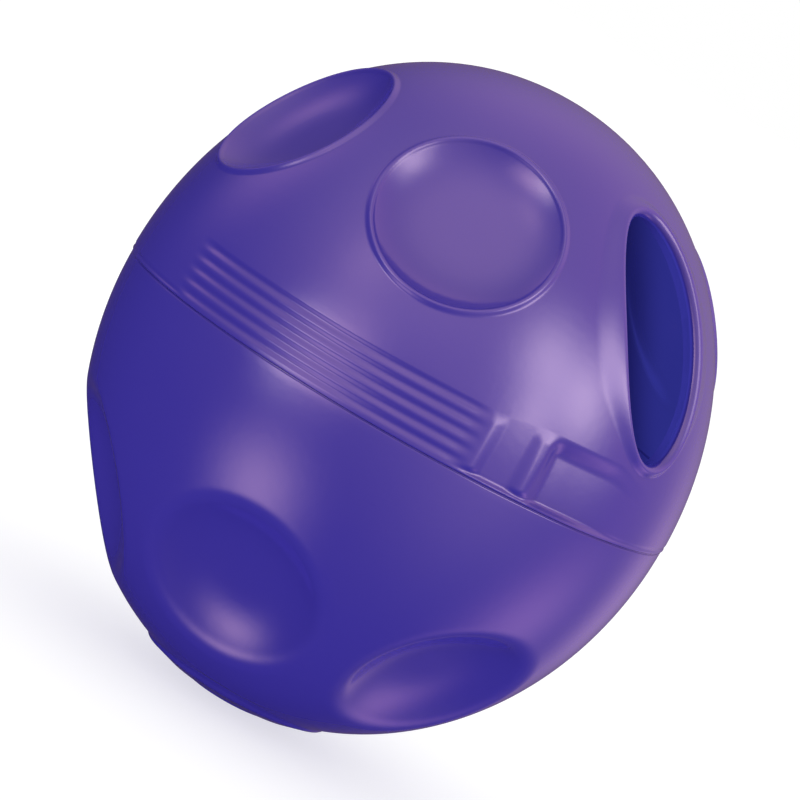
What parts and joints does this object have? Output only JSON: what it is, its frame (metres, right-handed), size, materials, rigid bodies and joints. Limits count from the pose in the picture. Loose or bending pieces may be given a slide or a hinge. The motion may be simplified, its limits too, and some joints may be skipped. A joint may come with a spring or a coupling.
{
  "type": "treat dispensing ball",
  "caption": "Hollow dimpled plastic ovoid in two halves that pull apart, with an oval treat slot and a ribbed grip band at the seam.",
  "frame": {"origin": "centre of the closed ball", "axes": "+Z along the ball's axis toward the slotted half's pole, -Y toward the treat slot"},
  "size_m": [0.07, 0.07, 0.0793],
  "materials": {
    "upper_plastic": "satin gloss, moulded through in violet",
    "lower_plastic": "satin gloss, moulded through in violet"
  },
  "bodies": {
    "lower": {"lower_half": "lower_plastic"},
    "upper": {"upper_half": "upper_plastic"}
  },
  "joints": [
    {"name": "lift_off", "type": "slide", "parent": "lower", "child": "upper", "axis": [0, 0, 1], "range_m": [0, 0.03]}
  ]
}
